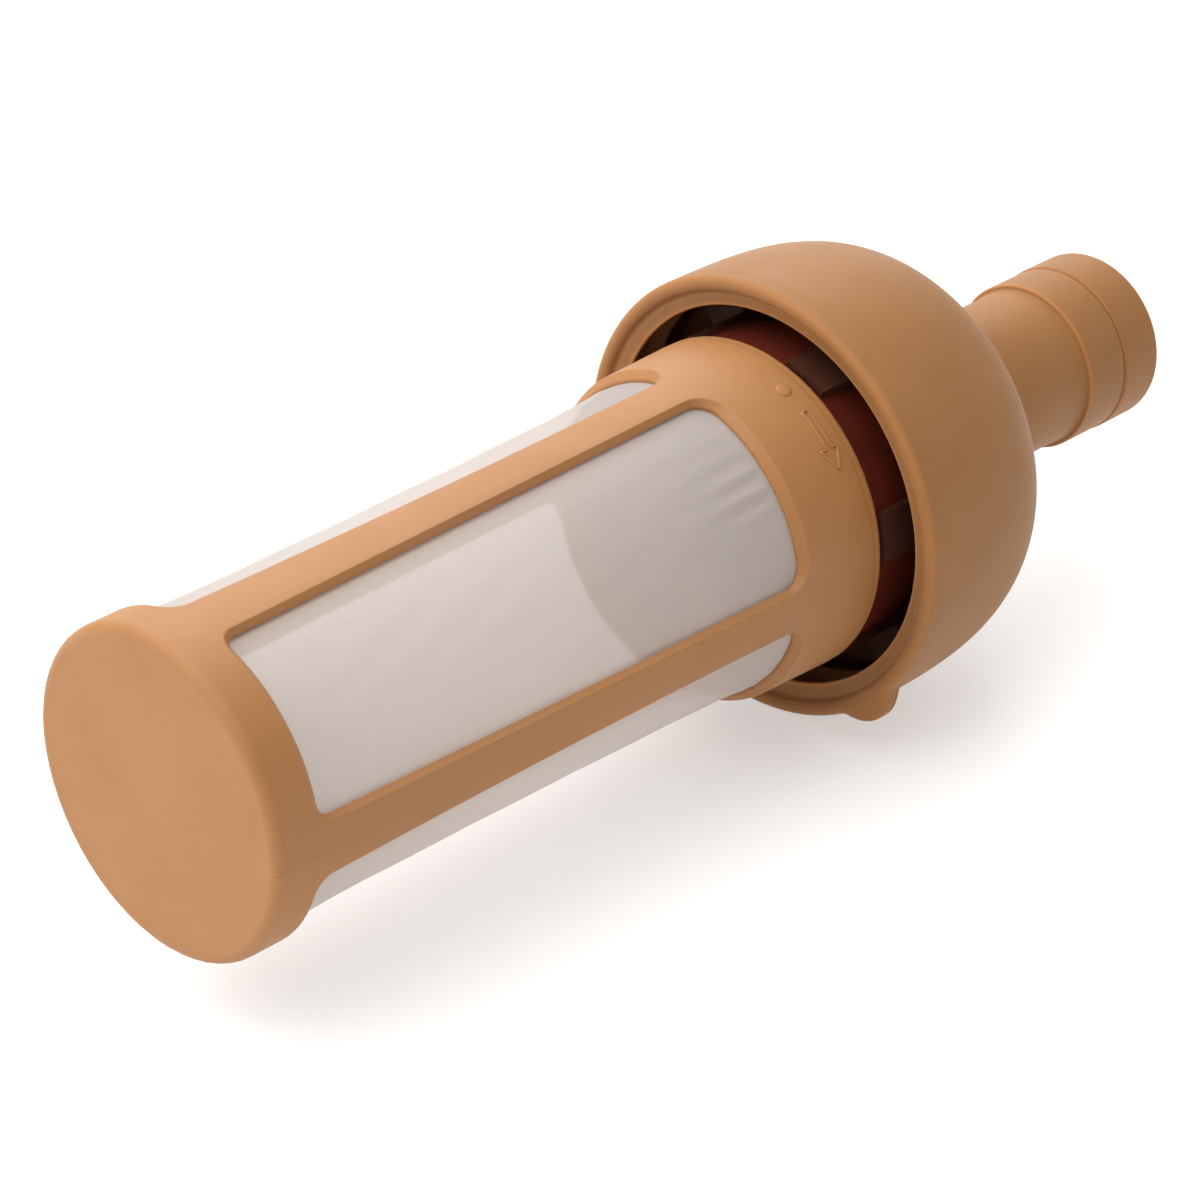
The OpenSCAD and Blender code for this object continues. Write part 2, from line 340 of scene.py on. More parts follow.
def silicone_material(finish):
    """Matte caramel silicone: soft inside light, slight mottling, a fine moulded grain, a few specks of dust, and
    painted glow and highlights on its thin edges.
    """
    material, tree, shader = new_material("caramel_silicone")
    points = object_points(tree)
    base, glow_tint = tuple(finish.silicone), tuple(finish.edge_glow_paint)
    mottle = spread(tree, noise(tree, points, 22 * MM), 0.35, 0.7, 0, 1)
    body = tint(tree, mottle, scaled(base, 0.95), scaled(base, 1.04))
    dusty = tint(tree, specks(tree, points, 0.32 * MM, 0.16), body, scaled(base, 1.5))
    dusty = tint(tree, specks(tree, points, 0.25 * MM, 0.08), dusty, scaled(base, 0.6))
    # Painted glow and highlight: thin edges and ridges are tinted towards the glow colour
    tree.links.new(tint(tree, painted_edge_glow(tree, points), dusty, glow_tint), shader.inputs["Base Color"])
    rough = spread(tree, noise(tree, points, 9 * MM), 0.3, 0.7, 0.5, 0.62)
    tree.links.new(rough, shader.inputs["Roughness"])
    shader.inputs["Specular IOR Level"].default_value = 0.25
    shader.inputs["Sheen Weight"].default_value = 0.08
    shader.inputs["Subsurface Weight"].default_value = 0.35
    shader.inputs["Subsurface Radius"].default_value = (1.0, 0.45, 0.18)
    shader.inputs["Subsurface Scale"].default_value = 2.2 * MM
    grain = noise(tree, points, 0.28 * MM, detail=4, roughness=0.6)
    raise_surface(tree, shader, grain, 0.012 * MM)
    return material


def painted_edge_glow(tree, points):
    """Up to 1 where glow is painted on the silicone's thin edges, each a soft stripe exp(-(distance / width) squared)
    times its strength: painted light shining through thin silicone, and painted highlights along its edges.
    """
    parts = add_node(tree, "SeparateXYZ", {"Vector": points}).outputs
    across = maths(tree, "MULTIPLY_ADD", parts[1], parts[1], maths(tree, "MULTIPLY", parts[2], parts[2]))
    radius = maths(tree, "SQRT", across)
    ragged = maths(tree, "MULTIPLY_ADD", noise(tree, points, 2.5 * MM), 0.5 * MM, parts[0])
    total = 0.0
    stripes = (
        (parts[0], 0.5 * MM, 0.5 * MM, 0.16),  # the rim's bead
        (parts[0], 75.95 * MM, 0.3 * MM, 0.4),  # the finish band's lower edge
        (ragged, 86.35 * MM, 0.25 * MM, 0.35),  # the joint under the stopper's head
        (radius, 36.25 * MM, 0.4 * MM, 0.5),  # the lip's tip
    )
    for place, centre, width, strength in stripes:
        offset = maths(tree, "DIVIDE", maths(tree, "SUBTRACT", place, centre), width)
        hump = maths(tree, "EXPONENT", maths(tree, "MULTIPLY", maths(tree, "MULTIPLY", offset, offset), -1.0))
        hump = maths(tree, "MULTIPLY", hump, strength)
        if place is radius:
            hump = maths(tree, "MULTIPLY", hump, maths(tree, "LESS_THAN", parts[0], 4 * MM))
        total = maths(tree, "ADD", total, hump)
    return spread(tree, total, 0, 1, 0, 1)


def frame_material(finish, settings):
    """Satin moulded plastic: faint flow marks, a fine parting line along one rib, and handling wear in its gloss."""
    material, tree, shader = new_material("caramel_polypropylene")
    points = object_points(tree)
    base = tuple(finish.plastic)
    flow_map = add_node(tree, "Mapping", {"Vector": points}, {"Scale": (0.25, 1, 1)}).outputs[0]
    flow = spread(tree, noise(tree, flow_map, 14 * MM), 0.3, 0.7, 0, 1)
    body = tint(tree, flow, scaled(base, 0.96), scaled(base, 1.03))
    line_share = parting_line(tree, points, settings.turn - math.radians(45), 0.06 * MM)
    body = tint(tree, line_share, body, scaled(base, 0.84))
    dusty = tint(tree, specks(tree, points, 0.22 * MM, 0.1), body, scaled(base, 0.62))
    tree.links.new(dusty, shader.inputs["Base Color"])
    scuffs = noise(tree, add_node(tree, "Mapping", {"Vector": points}, {"Scale": (1, 0.15, 0.15)}).outputs[0], 1.5 * MM)
    rough = maths(tree, "ADD", spread(tree, noise(tree, points, 11 * MM), 0.3, 0.7, 0.44, 0.54),
                  spread(tree, scuffs, 0.55, 0.8, 0.0, 0.08))
    tree.links.new(rough, shader.inputs["Roughness"])
    shader.inputs["Specular IOR Level"].default_value = 0.4
    shader.inputs["Subsurface Weight"].default_value = 0.2
    shader.inputs["Subsurface Radius"].default_value = (1.0, 0.5, 0.25)
    shader.inputs["Subsurface Scale"].default_value = 0.7 * MM
    height = maths(tree, "MULTIPLY_ADD", line_share, 2.0, noise(tree, points, 0.35 * MM, detail=4))
    raise_surface(tree, shader, height, 0.008 * MM)
    return material


def parting_line(tree, points, turn, width):
    """1 on a thin line along the axis, at one turn from straight down, and 0 elsewhere."""
    parts = add_node(tree, "SeparateXYZ", {"Vector": points}).outputs
    side = maths(tree, "MULTIPLY", parts[1], math.cos(turn))
    side = maths(tree, "MULTIPLY_ADD", parts[2], math.sin(turn), side)
    outward = maths(tree, "MULTIPLY", parts[1], math.sin(turn))
    outward = maths(tree, "MULTIPLY_ADD", parts[2], -math.cos(turn), outward)
    wander = maths(tree, "MULTIPLY", maths(tree, "SUBTRACT", noise(tree, points, 30 * MM), 0.5), 0.6 * MM)
    near = maths(tree, "LESS_THAN", maths(tree, "ABSOLUTE", maths(tree, "ADD", side, wander)), width)
    off_face = maths(tree, "GREATER_THAN", parts[0], STRAINER_LOW.x + 0.6 * MM)
    on_side = maths(tree, "GREATER_THAN", outward, 20 * MM)
    return maths(tree, "MULTIPLY", near, maths(tree, "MULTIPLY", off_face, on_side))


def holder_material(finish):
    """Red-brown moulded plastic that shines a little, with painted shade on the vanes that stand out of the cup: they
    are tinted duller and browner.
    """
    material, tree, shader = new_material("brown_polypropylene")
    points = object_points(tree)
    parts = add_node(tree, "SeparateXYZ", {"Vector": points}).outputs
    across = maths(tree, "MULTIPLY_ADD", parts[1], parts[1], maths(tree, "MULTIPLY", parts[2], parts[2]))
    radius = maths(tree, "SQRT", across)
    painted_vane_shade = spread(tree, radius, 30.3 * MM, 30.5 * MM, 0, 1)
    cup = tuple(finish.holder)
    mottle = spread(tree, noise(tree, points, 8 * MM), 0.3, 0.7, 0, 1)
    body = tint(tree, mottle, scaled(cup, 0.8), scaled(cup, 1.2))
    # Painted shade: the vanes are tinted a duller brown than the cup
    tree.links.new(tint(tree, painted_vane_shade, body, tuple(finish.painted_vane_shade)), shader.inputs["Base Color"])
    tree.links.new(spread(tree, noise(tree, points, 3 * MM), 0.3, 0.7, 0.45, 0.6), shader.inputs["Roughness"])
    shader.inputs["Specular IOR Level"].default_value = 0.16
    raise_surface(tree, shader, noise(tree, points, 0.4 * MM), 0.01 * MM)
    return material


def cloth_material(finish):
    """Plain-woven polyester: yarns over and under, with painted shade where they dip, a few heavier yarns, and gaps
    that let sight and light through.
    """
    material, tree, shader = new_material("polyester_mesh")
    yarn_pitch = 0.24 * MM
    cloth_map = add_node(tree, "UVMap", uv_map="cloth").outputs[0]
    uv = add_node(tree, "SeparateXYZ", {"Vector": cloth_map}).outputs
    round_wave, long_wave = (
        maths(tree, "SINE", maths(tree, "MULTIPLY", uv[axis], math.tau / yarn_pitch)) for axis in (0, 1)
    )
    over = maths(tree, "MULTIPLY", round_wave, long_wave)
    height = maths(tree, "MULTIPLY_ADD", over, 0.5, 0.5)
    warp, weft = (
        noise(tree, add_node(tree, "Mapping", {"Vector": cloth_map}, {"Scale": stretch}).outputs[0], 0.42 * MM, 2)
        for stretch in ((1, 0.02, 1), (0.02, 1, 1))
    )
    streaks = spread(tree, maths(tree, "MULTIPLY_ADD", weft, 0.5, warp), 0.55, 0.95, 0, 1)
    heavy_pitch = 1.7 * MM
    strand = maths(tree, "FLOOR", maths(tree, "DIVIDE", uv[0], heavy_pitch))
    pick = add_node(tree, "TexWhiteNoise", {"W": strand}, noise_dimensions="1D").outputs["Value"]
    inside = maths(tree, "FRACT", maths(tree, "DIVIDE", uv[0], heavy_pitch))
    heavy = maths(tree, "MULTIPLY", maths(tree, "GREATER_THAN", pick, 0.72), maths(tree, "LESS_THAN", inside, 0.07))
    base = tuple(finish.yarn)
    # Painted shade: the yarns are darker where they dip under one another
    body = tint(tree, height, scaled(base, 0.9), base)
    body = tint(tree, streaks, scaled(base, 0.98), body)
    body = tint(tree, maths(tree, "MULTIPLY", heavy, 0.13), body, scaled(base, 0.6))
    tree.links.new(body, shader.inputs["Base Color"])
    shader.inputs["Roughness"].default_value = 0.55
    shader.inputs["Specular IOR Level"].default_value = 0.3
    shader.inputs["Sheen Weight"].default_value = 0.15
    raise_surface(tree, shader, height, 0.02 * MM)
    through = add_node(tree, "BsdfTranslucent", {"Color": body})
    clear = add_node(tree, "BsdfTransparent")
    lit = add_node(tree, "MixShader", {1: shader.outputs[0], 2: through.outputs[0]}, {0: 0.45})
    woven = maths(tree, "MULTIPLY_ADD", streaks, 0.3, maths(tree, "MULTIPLY", height, 0.7))
    gaps = spread(tree, woven, 0, 1, 0.27, 0.11)
    cloth = add_node(tree, "MixShader", {0: gaps, 1: lit.outputs[0], 2: clear.outputs[0]})
    output = next(node for node in tree.nodes if node.type == "OUTPUT_MATERIAL")
    tree.links.new(cloth.outputs[0], output.inputs["Surface"])
    return material


def floor_material(finish):
    """A pale light table: matte white acrylic, lit softly from below for the eye, which gives little light back."""
    material, tree, shader = new_material("pale_floor")
    points = object_points(tree)
    base = tuple(finish.floor)
    body = tint(tree, noise(tree, points, 400 * MM), scaled(base, 0.985), base)
    seen = add_node(tree, "LightPath").outputs["Is Camera Ray"]
    tree.links.new(tint(tree, seen, scaled(base, 0.9), body), shader.inputs["Base Color"])
    shader.inputs["Roughness"].default_value = 0.9
    shader.inputs["Specular IOR Level"].default_value = 0.1
    shader.inputs["Emission Color"].default_value = (1, 1, 1, 1)
    tree.links.new(maths(tree, "MULTIPLY_ADD", seen, 0.12, 0.34), shader.inputs["Emission Strength"])
    return material


def material_once(name, make, *settings):
    """The material of that name, made the first time that it is asked for."""
    return bpy.data.materials.get(name) or make(*settings)


# The spout


def dome_radius(x, reach, radius, squareness):
    """Radius of a superellipse at x: (x / reach)^n + (r / radius)^n = 1."""
    share = np.clip(1 - np.clip(x / reach, 0, 1) ** squareness, 0, 1)
    return radius * share ** (1 / squareness)


def dome_curve(spout, start, stop_radius, inset, count):
    """Points of the dome's curve, inset by a wall, from x = start until the radius has shrunk to stop_radius."""
    reach, radius, n = spout.dome_length - inset, spout.rim_radius - inset, spout.squareness
    stop = reach * (1 - (stop_radius / radius) ** n) ** (1 / n)
    x = start + (stop - start) * np.sin(np.linspace(0, math.pi / 2, count))
    return np.stack([x, dome_radius(x, reach, radius, n)], axis=-1)


def spout_profile(spout):
    """The spout's closed section: lip, bead, dome, fillet, neck, finish band, bore, inner dome, seat, undercut."""
    rim, bead, fillet, edge, tip = spout.rim_radius, spout.bead, spout.crown_fillet, 0.6 * MM, 0.5 * MM
    outer = dome_curve(spout, 5.5 * MM, spout.neck_radius + fillet, 0, 70)
    inner = dome_curve(spout, spout.seat_start + 1.6 * MM, spout.bore + fillet, spout.wall, 50)
    crown, inner_crown = outer[-1, 0], inner[-1, 0]
    wall = line((bead, rim), (5.5 * MM, rim), 48)
    for groove, width in ((2.6 * MM, 0.12 * MM), (3.3 * MM, 0.1 * MM)):
        wall[:, 1] -= 0.07 * MM * bump(wall[:, 0], groove, width)
    band = line((spout.band_start + edge, spout.band_radius), (spout.mouth - edge, spout.band_radius), 12)
    return np.concatenate([
        arc(spout.lip_depth, spout.lip_radius + tip, tip, 120, 240, 12),
        lip_slope(spout, tip, 24),
        arc(bead, rim - bead, bead, -158, 0, 22)[:-1],
        wall,
        outer[:-1],
        arc(crown + fillet, spout.neck_radius + fillet, fillet, -90, -180, 10),
        line((crown + fillet + 1 * MM, spout.neck_radius), (spout.band_start, spout.neck_radius), 24),
        arc(spout.band_start + edge, spout.band_radius - edge, edge, -100, 0, 8),
        band[1:],
        arc(spout.mouth - edge, spout.band_radius - edge, edge, 0, 90, 7),
        line((spout.mouth, spout.band_radius - 2 * edge), (spout.mouth, spout.bore + edge), 5),
        arc(spout.mouth - edge / 2, spout.bore + edge / 2, edge / 2, 90, 180, 5),
        line((spout.mouth - 1 * MM, spout.bore), (inner_crown + fillet, spout.bore), 20),
        arc(inner_crown + fillet, spout.bore + fillet, fillet, -180, -95, 8),
        inner[::-1],
        line((spout.seat_start + 1.6 * MM, rim - 4.2 * MM), (spout.seat_start, rim - 4.2 * MM), 3),
        line((spout.seat_start, rim - spout.wall), (4.8 * MM, rim - spout.wall), 12),
        line((4.8 * MM, rim - spout.wall), (spout.lip_depth + tip * 0.87, spout.lip_radius + tip * 0.5), 8),
    ])


def lip_slope(spout, tip, count):
    """The lip's face from its tip out to the bead, slightly hollow, with a shallow groove inside the bead."""
    start = (spout.lip_depth - 0.87 * tip, spout.lip_radius + 0.5 * tip)
    slope = line(start, (1.12 * MM, spout.rim_radius - spout.bead - 1.55 * MM), count)
    slope[:, 0] += 0.1 * MM * np.sin(np.linspace(0, math.pi, count, endpoint=False))
    slope[:, 0] += 0.22 * MM * bump(slope[:, 1], spout.rim_radius - spout.bead - 1.9 * MM, 0.45 * MM)
    return slope[1:]


def tab_reach(spout, turn):
    """How far the tab's round outline stands past the rim at each turn: a circle seen from the axis. Where it comes
    down to the rim it is eased into 0, as half of (reach + the root of reach squared plus ease squared)."""
    centre = spout.rim_radius + spout.tab_out - spout.tab_radius
    across = centre * np.sin(turn - spout.tab_turn)
    ahead = np.cos(turn - spout.tab_turn) > 0
    inside = np.clip(spout.tab_radius**2 - across**2, 0, None)
    reach = centre * np.cos(turn - spout.tab_turn) + np.sqrt(inside) - spout.rim_radius
    ease, beyond = 0.6 * MM, 5 * MM
    reach = np.where(ahead & (inside > 0), reach, -beyond)
    return 0.5 * (reach + np.sqrt(reach**2 + ease**2)) - 0.25 * ease**2 / beyond


def spout_surface(spout):
    """The spout's section carried round the axis, pushed outwards where the grip tab stands out of the rim."""
    profile = spout_profile(spout)
    turn = np.linspace(0, math.tau, 280, endpoint=False)
    turn -= 0.35 * np.sin(turn - spout.tab_turn)  # closer together at the tab
    x, radius = profile[:, :1], profile[:, 1:]
    along = smoothstep(x, -0.4 * MM, 0.9 * MM) * (1 - smoothstep(x, spout.tab_length - 1.2 * MM, spout.tab_length))
    outwards = smoothstep(radius, spout.rim_radius - 2.9 * MM, spout.rim_radius - 0.05 * MM)
    return about_axis(x, radius + along * outwards * tab_reach(spout, turn)[None, :], turn[None, :])


class STRAINER_OT_spout(Operator):
    """Build the silicone spout: rim, lip, grip tab, dome, neck and finish band"""

    bl_idname = "strainer.spout"
    bl_label = "Silicone spout"

    def execute(self, context):
        model = context.scene.strainer_model
        material = material_once("caramel_silicone", silicone_material, model.finish)
        grids = [(spout_surface(model.spout), True, True)]
        make_piece("silicone_spout", grids, material, "spout", ["spout_shell"])
        return {"FINISHED"}


# The stopper


def stopper_profile():
    """The stopper's section from the middle of its hollow underside, down the plug, round the head to its top."""
    start, head_end = STOPPER_LOW.x, STOPPER_HIGH.x
    head_radius, plug_radius = STOPPER_HIGH.z, 11.9 * MM
    head_start, edge, top_edge = head_end - 10.2 * MM, 0.6 * MM, 1.2 * MM
    hollow, hollow_end = plug_radius - 2.2 * MM, head_start + 4.5 * MM
    plug = line((start + edge, plug_radius), (head_start, plug_radius), 90)
    for number in range(1, 4):
        centre = start + number * 5 * MM
        plug[:, 1] += 0.25 * MM * bump(plug[:, 0], centre, 0.5 * MM)
    side = line((head_start + edge, head_radius), (head_end - top_edge, head_radius), 24)
    side[:, 1] += 0.06 * MM * bump(side[:, 0], head_start + 0.75 * MM, 0.15 * MM)
    return np.concatenate([
        line((hollow_end, 0), (hollow_end, hollow - edge), 6),
        arc(hollow_end - edge, hollow - edge, edge, 90, 0, 6),
        line((hollow_end - 1 * MM, hollow), (start + edge / 2, hollow), 12),
        arc(start + edge / 2, hollow + edge / 2, edge / 2, -180, -90, 5),
        arc(start + edge, plug_radius - edge, edge, -90, 0, 6),
        plug[1:],
        line((head_start, plug_radius + 0.3 * MM), (head_start, head_radius - edge), 6),
        arc(head_start + edge, head_radius - edge, edge, -90, 0, 8),
        side[1:],
        arc(head_end - top_edge, head_radius - top_edge, top_edge, 0, 90, 12),
        line((head_end, head_radius - 1.5 * MM), (head_end, 0), 10),
        [(head_end, 0)],
    ])


class STRAINER_OT_stopper(Operator):
    """Build the silicone stopper: head and hollow plug with sealing ribs"""

    bl_idname = "strainer.stopper"
    bl_label = "Stopper"

    def execute(self, context):
        finish = context.scene.strainer_model.finish
        material = material_once("caramel_silicone", silicone_material, finish)
        profile = stopper_profile()
        turn = np.linspace(0, math.tau, 160, endpoint=False)
        surface = about_axis(profile[:, :1], profile[:, 1:], turn[None, :])
        make_piece("silicone_stopper", [(surface, False, True)], material, "plug", ["stopper"])
        return {"FINISHED"}


# The strainer's frame


def frame_radius(strainer, x):
    """Outer radius of the frame at x: a straight taper, drawn in by a parabola that is deepest at mid length."""
    share = (x - STRAINER_LOW.x) / (strainer.collar_end - STRAINER_LOW.x)
    taper = strainer.closed_radius + (strainer.collar_radius - strainer.closed_radius) * share
    return taper - 4 * strainer.waist * share * (1 - share)


def window_outline(strainer, grow):
    """A window's outline as flat (across, along) points: a trapezoid whose corners are arcs, grown by an offset.
    It starts in the middle of a corner, and the share of each side's length goes with every point."""
    low, high = STRAINER_LOW.x + strainer.closed_band, strainer.collar_end - strainer.collar_band
    half_rib = math.asin(strainer.rib_width / 2 / strainer.closed_radius)
    half_low = strainer.closed_radius * math.sin(math.pi / strainer.windows - half_rib)
    half_high = half_low * strainer.collar_radius / strainer.closed_radius * 1.05
    a, b = strainer.closed_corner, strainer.collar_corner
    corners = [
        (a - half_low, low + a, a, 180), (half_low - a, low + a, a, 270),
        (half_high - b, high - b, b, 0), (b - half_high, high - b, b, 90),
    ]
    sides, shares = [], []
    for number in range(4):
        first, second = corners[number], corners[(number + 1) % 4]
        leave = corner_points(first, grow, 45, 90, 9)
        arrive = corner_points(second, grow, 0, 45, 9)
        count = 14 if number % 2 == 0 else 44
        side = np.concatenate([leave[:-1], line(leave[-1], arrive[0], count), arrive])
        steps = np.linalg.norm(np.diff(side, axis=0), axis=1)
        sides.append(side[:-1])
        shares.append(np.concatenate([[0], np.cumsum(steps)])[:-1] / steps.sum())
    return sides, shares


def corner_points(corner, grow, start, stop, count):
    """Points of one corner's arc, offset outwards by grow."""
    across, along, radius, base = corner
    turn = np.radians(base + np.linspace(start, stop, count))
    return np.stack([across + (radius + grow) * np.cos(turn), along + (radius + grow) * np.sin(turn)], axis=-1)


def tile_border(strainer, shares):
    """The outline of the wall's share round one window, as (turn, x): a rectangle from rib middle to rib middle."""
    half = math.pi / strainer.windows
    low, high = tile_ends(strainer)
    a, b, c, d = shares
    turns = np.concatenate([2 * half * a - half, np.full(len(b), half), half - 2 * half * c, np.full(len(d), -half)])
    span = high - low
    along = np.concatenate([np.full(len(a), low), low + span * b, np.full(len(c), high), high - span * d])
    return turns, along


def tile_ends(strainer):
    """Where the wall's windowed stretch starts and ends along the axis."""
    return STRAINER_LOW.x + strainer.edge + 1.5 * MM, strainer.collar_end - strainer.collar_band + 8 * MM


def window_tile(strainer, middle):
    """The wall round one window, as rows of closed loops: in over the outer face, over a small rounding and down the
    bevel, down the window's side, which is parallel to the window's middle, and out again over the inner face."""
    bevel, deep, foot, wall = strainer.bevel, strainer.bevel_depth, 0.2 * MM, strainer.wall
    _, shares = window_outline(strainer, 0)
    border_turn, border_x = tile_border(strainer, shares)
    rows = []

    def loop(grow, depth, share=0.0):
        """The outline grown and sunk to a depth, and moved by share of the way to the tile's border."""
        flat = np.concatenate(window_outline(strainer, grow)[0])
        radius = frame_radius(strainer, flat[:, 1]) - depth
        turn = np.arcsin(flat[:, 0] / radius) * (1 - share) + border_turn * share
        x = flat[:, 1] * (1 - share) + border_x * share
        rows.append(about_axis(x, frame_radius(strainer, x) - depth, turn + middle))

    for share in np.linspace(1, 0, 10) ** 1.7:
        loop(bevel + 0.3 * MM, 0, share)
    for grow, depth in ((0.15, 0.025), (0.0, 0.1), (-0.1, 0.22)):
        loop(bevel + grow * MM, depth * MM)
    for share in np.linspace(0.25, 1, 4):
        loop((bevel - 0.1 * MM) * (1 - share), 0.22 * MM + (deep - 0.22 * MM) * share)
    for depth in np.linspace(deep, wall - foot, 3)[1:]:
        loop(0, depth)
    for turn in np.radians(np.linspace(30, 90, 3)):
        loop(foot * (1 - math.cos(turn)), wall - foot * (1 - math.sin(turn)))
    for share in np.linspace(0, 1, 5)[1:]:
        loop(foot, wall, share)
    return np.stack(rows)


def closed_end(strainer):
    """The closed end's outer and inner sections, from the windowed wall to the axis. A fine ring edges the face."""
    start, edge, wall = STRAINER_LOW.x, strainer.edge, strainer.wall
    low, _ = tile_ends(strainer)
    radius, dish = strainer.closed_radius, 0.07 * MM
    face = line((start, radius - edge), (start, 0), 40)[1:]
    face[:, 0] += dish * (1 - bump(face[:, 1], radius - edge - 0.12 * MM, 0.25 * MM))
    skirt = np.linspace(low, start + edge, 6)
    outer = np.concatenate([
        np.stack([skirt, frame_radius(strainer, skirt)], axis=-1)[:-1],
        arc(start + edge, radius - edge, edge, 0, -90, 12),
        face,
        [(start + dish, 0)],
    ])
    inner_x = np.linspace(low, start + wall + 1 * MM, 4)
    inner = np.concatenate([
        np.stack([inner_x, frame_radius(strainer, inner_x) - wall], axis=-1),
        line((start + wall, radius - wall - 1 * MM), (start + wall, 0), 8),
        [(start + wall, 0)],
    ])
    return outer, inner


def collar_section(strainer):
    """The collar's section from the windowed wall's outer face, over its end, along the socket, to the inner face.
    A fine step makes the ring line near its end."""
    _, low = tile_ends(strainer)
    end, wall, edge = strainer.collar_end, strainer.wall, 1.2 * MM
    socket, socket_end, step = strainer.socket_radius, STRAINER_HIGH.x, 0.08 * MM
    out_x = np.linspace(low, end - edge, 40)
    outer = np.stack([out_x, frame_radius(strainer, out_x)], axis=-1)
    outer[:, 1] -= step * smoothstep(outer[:, 0], end - 2.4 * MM, end - 2.0 * MM)
    shoulder = end - wall
    in_x = np.linspace(shoulder - 0.5 * MM, low, 12)
    return np.concatenate([
        outer[:-1],
        arc(end - edge, strainer.collar_radius - step - edge, edge, 0, 90, 10),
        line((end, strainer.collar_radius - 2 * MM), (end, socket), 4),
        line((end + 0.3 * MM, socket), (socket_end - 0.4 * MM, socket), 6),
        arc(socket_end - 0.4 * MM, socket - 0.4 * MM, 0.4 * MM, 0, 90, 4),
        line((socket_end, socket - wall + 0.4 * MM), (shoulder, socket - wall), 8),
        line((shoulder, socket - wall), (shoulder, frame_radius(strainer, shoulder) - wall), 4),
        np.stack([in_x, frame_radius(strainer, in_x) - wall], axis=-1),
    ])


def frame_grids(strainer):
    """All of the frame's surfaces: a tile round each window, and the sections of both ends carried round the axis."""
    _, shares = window_outline(strainer, 0)
    half = math.pi / strainer.windows
    middles = [strainer.turn + 2 * half * number for number in range(strainer.windows)]
    closed_turns = np.concatenate([middle - half + 2 * half * shares[0] for middle in middles])
    collar_turns = np.concatenate([middle + half - 2 * half * shares[2] for middle in reversed(middles)])
    outer, inner = closed_end(strainer)
    grids = [(window_tile(strainer, middle), False, True) for middle in middles]
    for section, turns in ((outer, closed_turns), (inner, closed_turns), (collar_section(strainer), collar_turns)):
        grids.append((about_axis(section[:, :1], section[:, 1:], turns[None, :]), False, True))
    return grids


def bayonet_lug(strainer, middle):
    """One lug of the bayonet: a rounded rectangle's section swept over an arc, and drawn together at both ends."""
    low, high = 2.3 * MM, 4.9 * MM
    bottom, top, edge = strainer.socket_radius - 0.5 * MM, strainer.socket_radius + 1.5 * MM, 0.3 * MM
    section = np.concatenate([
        arc(low + edge, top - edge, edge, -90, 0, 4), arc(high - edge, top - edge, edge, 0, 90, 4),
        [(high, bottom), (low, bottom)],
    ])
    centre = section.mean(axis=0)
    share = np.array([0.0, 0.9, 1.0] + [1.0] * 8 + [1.0, 0.9, 0.0])[:, None]
    turn = np.radians(np.array([-12, -12, -11.6, *np.linspace(-11, 11, 8), 11.6, 12, 12]))[:, None] + middle
    x = centre[0] + (section[:, 0] - centre[0]) * share
    radius = centre[1] + (section[:, 1] - centre[1]) * share
    return about_axis(x, radius, turn)


class STRAINER_OT_frame(Operator):
    """Build the strainer's moulded frame: closed end, ribs, collar, socket and bayonet lugs"""

    bl_idname = "strainer.frame"
    bl_label = "Strainer frame"

    def execute(self, context):
        model = context.scene.strainer_model
        material = material_once("caramel_polypropylene", frame_material, model.finish, model.strainer)
        grids = frame_grids(model.strainer)
        for number in range(LUGS):
            grids.append((bayonet_lug(model.strainer, model.strainer.turn + number * math.tau / LUGS), False, True))
        make_piece("moulded_frame", grids, material, "strainer", ["strainer_frame"])
        return {"FINISHED"}


# The marks on the collar


def arrow_path():
    """The arrow's outline as corners (along its length, across it), from its tail to its point and back."""
    half, shaft, barb, neck = 5.85 * MM, 0.6 * MM, 2.0 * MM, 1.95 * MM
    return [(half, 0), (neck, barb), (neck, shaft), (-half, shaft), (-half, -shaft), (neck, -shaft), (neck, -barb)]


def bead_on_collar(strainer, path, middle, middle_x):
    """A fine rounded bead carried along a closed path on the collar: across the path it is half a circle, lying on
    the wall. The path's first coordinate runs round the collar, and its second along the axis."""
    corners = np.array(path)
    points = np.concatenate([line(a, b, 10) for a, b in zip(corners, np.roll(corners, -1, axis=0))])
    ahead = np.roll(points, -1, axis=0) - np.roll(points, 1, axis=0)
    side = np.stack([ahead[:, 1], -ahead[:, 0]], axis=-1) / np.linalg.norm(ahead, axis=1)[:, None]
    turn = np.radians(np.linspace(0, 360, 12, endpoint=False))
    across, up = 0.22 * MM * np.cos(turn), 0.36 * MM * np.sin(turn)
    flat = points[:, None, :] + side[:, None, :] * across[None, :, None]
    radius = frame_radius(strainer, middle_x + flat[..., 1]) + up[None, :]
    return about_axis(middle_x + flat[..., 1], radius, middle + flat[..., 0] / strainer.collar_radius)


def dot_on_collar(strainer, middle, middle_x):
    """A low round button on the collar: its height falls from the middle as a superellipse, and its base is sunk."""
    button, sunk = 1.5 * MM, -0.1 * MM
    share = np.array([0.0, 0.25, 0.5, 0.7, 0.85, 0.95, 1.0, 1.0, 0.0])[:, None]
    height = np.append(0.26 * MM * (1 - share[:-2, 0] ** 4) ** 0.5, [sunk, sunk])[:, None]
    turn = np.linspace(0, math.tau, 40, endpoint=False)[None, :]
    x = middle_x + button * share * np.sin(turn)
    around = button * share * np.cos(turn) / strainer.collar_radius
    return about_axis(x, frame_radius(strainer, x) + height, middle + around)


